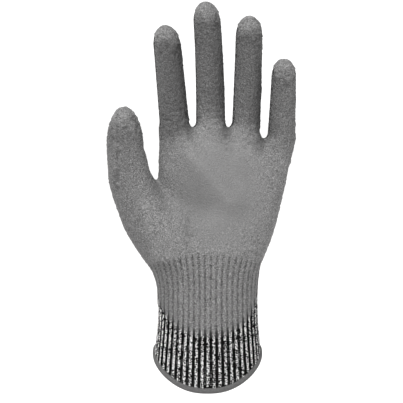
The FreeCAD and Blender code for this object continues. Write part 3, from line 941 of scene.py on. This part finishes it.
def skin_material(name, dipped):
    """The dip over the knit, or bare knit. Near the dip line on the cuff the film is thin."""
    nodes = Nodes(name)
    knit, knit_relief = melange_tone(nodes)
    coat, coat_relief = coating_tone(nodes)
    aside, _, _ = stitches(nodes)
    patchy = nodes.noise(nodes.rest_place(), 0.8, 1.0)
    cover = nodes.maths("ADD", nodes.layer("film"), nodes.maths("MULTIPLY", patchy, 0.35))
    cover = nodes.maths("SUBTRACT", cover, nodes.maths("MULTIPLY", aside, 0.32))
    if dipped:
        low, high, above_ribs, roughness, specular = 0.50, 0.86, 1.0, 0.6, 0.3
    else:
        low, high, above_ribs, roughness, specular = 0.72, 1.25, 0.0, 0.9, 0.04
    film = nodes.ramp(cover, low, high)
    film = nodes.mix(nodes.layer("ribbed"), grey(above_ribs), film)
    tone = nodes.mix(film, knit, coat)
    nodes.relief(coat_relief if dipped else knit_relief, 0.6)
    return nodes.finish(tone, roughness, specular)


def hem_material():
    nodes = Nodes("overlock_thread")
    strand = nodes.noise(nodes.rest_place(), 1.1, 2.0)
    tone = nodes.mix(nodes.ramp(strand, 0.3, 0.7), grey(0.055), grey(0.085))
    nodes.relief(strand, 0.25)
    return nodes.finish(tone, 0.8, 0.2)


def elastic_material():
    nodes = Nodes("covered_elastic")
    wrap = nodes.noise(nodes.rest_place(), 2.0, 1.0)
    tone = nodes.mix(nodes.ramp(wrap, 0.3, 0.7), grey(0.45), grey(0.6))
    return nodes.finish(tone, 0.6, 0.3)


def floor_material():
    nodes = Nodes("studio_floor")
    spot = nodes.tree.nodes.new("ShaderNodeTexCoord").outputs["Object"]
    tone = nodes.mix(nodes.noise(spot, 3.0, 2.0), grey(0.80), grey(0.82))
    return nodes.finish(tone, 0.9, 0.1)


# --- building ------------------------------------------------------------------------------

ZONE_ROOM = 0.76         # at 0.5 the inner side of a bend would just meet itself


def bend_zone(joint, radius, degrees):
    """The two ends of the stretch of fabric that bends at a joint."""
    half = ZONE_ROOM * math.radians(degrees) * radius
    place = joint_place(joint)[2]
    return place - half, place + half


def wrist_zone():
    return bend_zone("wrist_flex", 22.0, 35.0)


def finger_zones(finger):
    zones = []
    for part, degrees in (("base", 40.0), ("mid", 80.0), ("tip", 50.0)):
        low, high = node_span(f"{finger}_{part}_fold")
        zones.append(bend_zone(f"{finger}_{part}_flex", (high[1] - low[1]) / 2, degrees))
    return zones


def build_glove():
    """All of the skin's pieces. The first plan that a face suits takes it."""
    base, quads = draw_skin()
    normals = point_normals(base, quads)
    points, layers, coated = skin_details(base, normals)
    skin = (points, quads, point_normals(points, quads), layers)
    centre = base[quads].mean(axis=1)
    coat = coated[quads].mean(axis=1) > 0.5
    nearest, _ = nearest_finger(centre)
    thumb = on_thumb(centre)
    materials = {
        "coating": skin_material("polyurethane_coating", True),
        "knit": skin_material("melange_knit", False),
    }

    wrist = wrist_zone()
    knuckle = bend_zone("knuckle_flex", 14.4, 50.0)
    thumb_base = bend_zone("thumb_base_flex", 12.4, 35.0)
    thumb_tip = bend_zone("thumb_tip_flex", 11.4, 55.0)

    region = np.full(len(centre), -1)
    plans = []

    def plan(name, faces, bodies, zone, replaced):
        region[faces & (region < 0)] = len(plans)
        plans.append((name, bodies, zone, replaced))

    z = centre[:, 2]
    plan("sleeve", z < wrist[1] + 6.0, ("cuff", "lower_palm"), wrist,
         {"knit": ["cuff", "wrist_fold"], "coating": ["cuff_coating"]})
    middle = (thumb_base[1] + thumb_tip[0]) / 2
    plan("thumb_lower", thumb & (z > thumb_base[0]) & (z <= middle),
         ("lower_palm", "thumb_proximal"), thumb_base,
         {"knit": ["thumb_base_fold", "thumb_proximal"], "coating": ["thumb_proximal_coating"]})
    plan("thumb_upper", thumb & (z > middle), ("thumb_proximal", "thumb_distal"), thumb_tip,
         {"knit": ["thumb_tip_fold", "thumb_distal"], "coating": ["thumb_distal_coating"]})
    for number, finger in enumerate(FINGERS):
        own = (nearest == number) & ~thumb
        zones = finger_zones(finger)
        first = (zones[0][1] + zones[1][0]) / 2
        second = (zones[1][1] + zones[2][0]) / 2
        plan(finger + "_base", own & (z > zones[0][0]) & (z <= first),
             ("upper_palm", finger + "_proximal"), zones[0],
             {"knit": [finger + "_base_fold", finger + "_proximal"],
              "coating": [finger + "_proximal_coating"]})
        plan(finger + "_middle", own & (z > first) & (z <= second),
             (finger + "_proximal", finger + "_medial"), zones[1],
             {"knit": [finger + "_mid_fold", finger + "_medial"],
              "coating": [finger + "_medial_coating"]})
        plan(finger + "_tip", own & (z > second),
             (finger + "_medial", finger + "_distal"), zones[2],
             {"knit": [finger + "_tip_fold", finger + "_distal"],
              "coating": [finger + "_distal_coating"]})
    heel_top = knuckle[0] - 2.0
    plan("heel", (z < heel_top) | thumb, ("lower_palm",), None,
         {"knit": ["lower_palm"], "coating": ["lower_palm_coating"]})
    plan("palm", z >= heel_top, ("lower_palm", "upper_palm"), knuckle,
         {"knit": ["knuckle_fold", "upper_palm"], "coating": ["upper_palm_coating"]})

    for number, (name, bodies, zone, replaced) in enumerate(plans):
        for layer_name, chosen in (("coating", coat), ("knit", ~coat)):
            piece = cut_piece(
                f"{name}_{layer_name}", skin, (region == number) & chosen,
                materials[layer_name])
            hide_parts(*replaced[layer_name])
            if zone is None:
                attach(piece, bodies[0])
            else:
                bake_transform(piece)
    return materials


def cuff_ring(level, samples, inset=0.0):
    """Points round the cuff at one level before its rim is lowered, from the back round."""
    turns = np.linspace(-math.pi, math.pi, samples, endpoint=False)
    levels = np.full(samples, level)
    return cuff_points(cuff_radius(turns, levels, 60.0, 24) - inset, turns, levels)


def outward_from(ring):
    """Level directions from the cuff's middle through the points of a ring."""
    outward = ring * np.array([1, 1, 0])
    return outward / np.linalg.norm(outward, axis=1)[:, None]


def ring_quads(rows, samples, closed=False):
    """Quads between rows of points that each run right round."""
    step = np.arange(samples)
    after = (step + 1) % samples
    quads = []
    for row in range(rows if closed else rows - 1):
        here, above = row * samples, (row + 1) % rows * samples
        quads.append(np.stack([here + step, here + after, above + after, above + step], axis=1))
    return np.concatenate(quads)


def build_hem():
    """The overlocked hem: a band of thread wrapped over the cuff's lower edge."""
    samples, sides, loops = 1440, 20, 120
    half_height, half_thickness, inset = HEM_HEIGHT / 2, 1.25, 0.55
    thread_height, squareness = 0.24, 0.75
    ring = cuff_ring(0.0, samples)
    outward = outward_from(ring)
    length = np.cumsum(np.linalg.norm(ring - np.roll(ring, 1, axis=0), axis=1))
    phase = length / length[-1] * loops
    rows = []
    for side in range(sides):
        angle = 2 * math.pi * side / sides
        slanted = phase + 0.5 * math.sin(angle)
        thread = thread_height * (0.5 + 0.5 * np.cos(2 * math.pi * slanted))
        lift = math.copysign(abs(math.sin(angle)) ** squareness, math.sin(angle))
        reach = (half_thickness + thread) * math.cos(angle) - inset
        row = ring + outward * reach[:, None]
        row[:, 2] += half_height + (half_height + thread) * lift + rim_height(ring[:, 1])
        rows.append(row)
    points = np.concatenate(rows)
    hem = new_mesh("hem_band_thread", points, ring_quads(sides, samples, closed=True)[:, ::-1])
    add_layers(hem, {"rest": points})
    hem.data.materials.append(hem_material())
    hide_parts("hem_band")
    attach(hem, "cuff")


def build_lining(material):
    """The inside of the cuff, seen through the opening."""
    samples = 360
    levels = np.arange(0.0, 58.0, 2.0)
    depth = RIB_DEPTH + 0.25
    points = np.concatenate([drop_rim(cuff_ring(level, samples, depth)) for level in levels])
    lining = new_mesh("cuff_lining", points, ring_quads(len(levels), samples)[:, ::-1])
    share = np.tile(np.linspace(-0.5, 0.5, samples, endpoint=False), len(levels))
    add_layers(lining, {
        "rest": points,
        "wale": share * RIB_COUNT,
        "ribbed": np.full(len(points), 0.6),
    })
    lining.data.materials.append(material)
    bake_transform(lining)


def build_yarns():
    """Elastic yarns laid round the inside of the cuff."""
    low, high = node_span("elastic_yarns")
    count, samples, sides, thickness = 5, 360, 8, 0.35
    depth = RIB_DEPTH + 0.85
    rows, quads = [], []
    for number, level in enumerate(np.linspace(low[2], high[2], count)):
        ring = cuff_ring(level, samples, depth)
        outward = outward_from(ring)
        for side in range(sides):
            angle = 2 * math.pi * side / sides
            row = ring + outward * math.cos(angle) * thickness
            row[:, 2] += math.sin(angle) * thickness
            rows.append(drop_rim(row))
        first = number * sides * samples
        quads.append(ring_quads(sides, samples, closed=True)[:, ::-1] + first)
    points = np.concatenate(rows)
    yarns = new_mesh("elastic_yarn_rings", points, np.concatenate(quads))
    add_layers(yarns, {"rest": points})
    yarns.data.materials.append(elastic_material())
    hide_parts("elastic_yarns")
    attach(yarns, "cuff")


# --- studio --------------------------------------------------------------------------------

FLOOR_DEPTH = 0.10       # metres from the glove down to the floor
FLOOR_HALF = 3000.0
AIM = Vector((0.0, 0.0, 0.11))
CAMERA_TARGET = Vector((-0.0043, 0.0, 0.1035))
CAMERA_ELEVATION = math.radians(8.0)
CAMERA_DISTANCE = 1.10
COVERED = 0.2669         # metres that the picture's width covers at the camera's target
SENSOR = 36.0


def place_in_scene(obj, place, target):
    """Add a lamp or camera, turned towards its target."""
    obj.location = place
    obj.rotation_euler = (target - place).to_track_quat("-Z", "Y").to_euler()
    bpy.context.scene.collection.objects.link(obj)


def build_studio():
    corners = [(-1, -1, 0), (1, -1, 0), (1, 1, 0), (-1, 1, 0)]
    floor = new_mesh("floor", np.array(corners) * FLOOR_HALF, np.array([[0, 1, 2, 3]]))
    floor.location = (0, 0, cad_low[2] - FLOOR_DEPTH)
    floor.data.materials.append(floor_material())

    world = bpy.data.worlds.new("studio")
    bpy.context.scene.world = world
    world.use_nodes = True
    background = world.node_tree.nodes["Background"]
    background.inputs["Color"].default_value = (1, 1, 1, 1)
    background.inputs["Strength"].default_value = 1.25

    lamp = bpy.data.lights.new("key", "AREA")
    lamp.shape = "RECTANGLE"
    lamp.size = lamp.size_y = 0.45
    lamp.energy = 22.0
    place_in_scene(bpy.data.objects.new("key", lamp), Vector((-0.36, -0.66, 1.16)), AIM)


def build_camera():
    camera = bpy.data.cameras.new("camera")
    camera.sensor_width = SENSOR
    camera.lens = SENSOR * CAMERA_DISTANCE / COVERED
    away = Vector((0.0, -math.cos(CAMERA_ELEVATION), math.sin(CAMERA_ELEVATION)))
    obj = bpy.data.objects.new("camera", camera)
    place_in_scene(obj, CAMERA_TARGET + away * CAMERA_DISTANCE, CAMERA_TARGET)
    bpy.context.scene.camera = obj
    bpy.context.scene.view_settings.view_transform = "Standard"


skin_materials = build_glove()
build_hem()
build_lining(skin_materials["knit"])
build_yarns()
build_studio()
build_camera()
